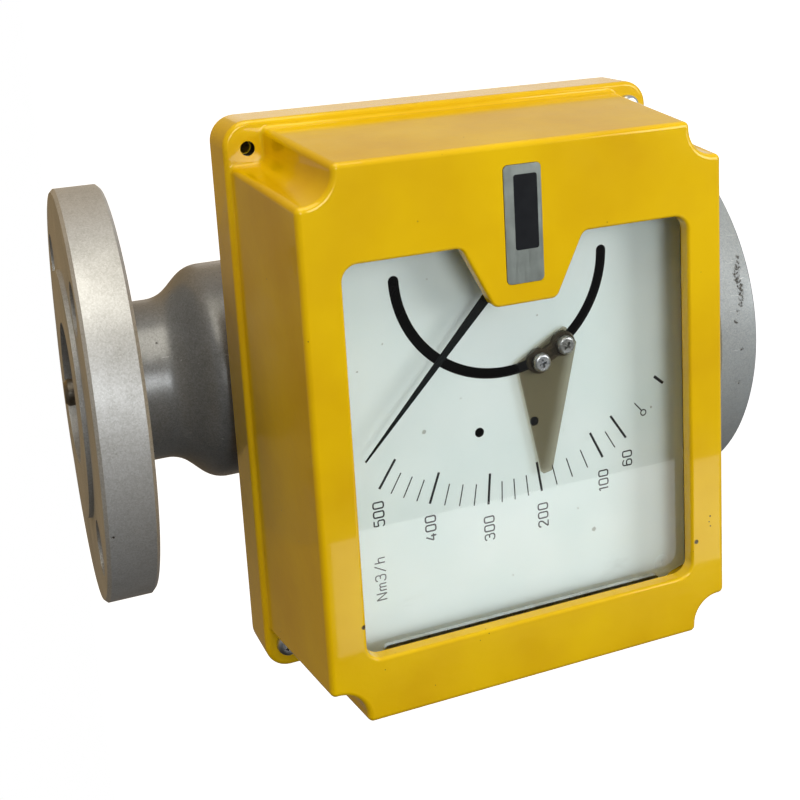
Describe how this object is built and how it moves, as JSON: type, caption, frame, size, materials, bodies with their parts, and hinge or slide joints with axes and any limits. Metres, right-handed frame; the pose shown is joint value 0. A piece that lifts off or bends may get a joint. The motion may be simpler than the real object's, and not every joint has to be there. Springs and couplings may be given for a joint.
{
  "type": "variable-area flow meter",
  "caption": "Metal-tube variable-area flow meter with flanged ends, a yellow cast dial case, a magnet-driven pointer and a set-point marker.",
  "frame": {"origin": "centre of the inlet raised face, on the pipe axis", "axes": "+Z along the pipe axis, the way the flow goes; -Y is where the dial faces"},
  "size_m": [0.1927, 0.195, 0.252],
  "materials": {
    "flange_paint": "silver-grey metallic paint, worn",
    "tube_paint": "silver-grey metallic paint, dented",
    "cone_steel": "turned",
    "rod_steel": "turned, stained",
    "magnet": "dark sintered",
    "yellow_paint": "glossy paint on a casting",
    "nameplate_metal": "brushed",
    "seal_rubber": "matte",
    "window_glass": "clear",
    "zinc": "zinc plated",
    "gland_plastic": "moulded",
    "dial_white": "matt white enamel",
    "plate_aluminium": "sheet",
    "bearing_brass": "turned",
    "spindle_steel": "ground",
    "pointer_black": "matt black",
    "marker_smoke": "smoked",
    "clamp_dark": "blackened",
    "switch_plastic": "moulded"
  },
  "bodies": {
    "frame": {"inlet_flange": "flange_paint", "outlet_flange": "flange_paint", "measuring_tube": "tube_paint", "saddles": "tube_paint", "metering_cone": "cone_steel", "upper_stop": "cone_steel", "lower_stop": "cone_steel", "guide_rod": "rod_steel", "guide_rod_nuts": "rod_steel", "inlet_spider": "rod_steel", "outlet_spider": "rod_steel", "inlet_retaining_ring": "rod_steel", "outlet_retaining_ring": "rod_steel", "damping_magnet": "magnet", "front_cover": "yellow_paint", "back_case": "yellow_paint", "nameplate": "nameplate_metal", "window_seal": "seal_rubber", "cover_gasket": "seal_rubber", "gland_plug": "seal_rubber", "window_glass": "window_glass", "window_clamps": "zinc", "clamp_screws": "zinc", "cover_screws": "zinc", "saddle_screws": "zinc", "scale_posts": "zinc", "scale_screws": "zinc", "front_posts": "zinc", "rear_posts": "zinc", "frame_screws": "zinc", "arm_clip": "zinc", "terminal_screws": "zinc", "cable_gland": "gland_plastic", "gland_nut": "gland_plastic", "scale_plate": "dial_white", "front_plate": "plate_aluminium", "rear_plate": "plate_aluminium", "front_bush": "bearing_brass", "rear_bush": "bearing_brass", "terminal_block": "switch_plastic"},
    "float": {"float_body": "cone_steel", "float_cap": "cone_steel", "float_magnet": "magnet"},
    "pointer_group": {"spindle": "spindle_steel", "pointer_hub": "bearing_brass", "pointer": "pointer_black", "follower_arm": "plate_aluminium", "follower_magnet": "magnet", "counterweight": "bearing_brass", "damping_disc": "plate_aluminium", "switch_vane": "plate_aluminium"},
    "set_point_group": {"switch_arm": "plate_aluminium", "proximity_switch": "switch_plastic", "set_point_plate": "marker_smoke", "set_point_clamp": "clamp_dark", "set_point_screws": "zinc"}
  },
  "joints": [
    {"name": "float_slide", "type": "slide", "parent": "frame", "child": "float", "axis": [0, 0, 1], "range_m": [-0.07169, 0]},
    {"name": "pointer_turn", "type": "hinge", "parent": "frame", "child": "pointer_group", "pos_m": [0.05315, -0.0886, 0.1204], "axis": [0, -1, 0], "range_deg": [0, 91.81]},
    {"name": "set_point_turn", "type": "hinge", "parent": "frame", "child": "set_point_group", "pos_m": [0.05315, -0.0886, 0.1204], "axis": [0, -1, 0], "range_deg": [-74, 49]}
  ],
  "couplings": [
    {"joint": "pointer_turn", "follows": "float_slide", "rad_per_m": -22.35}
  ]
}
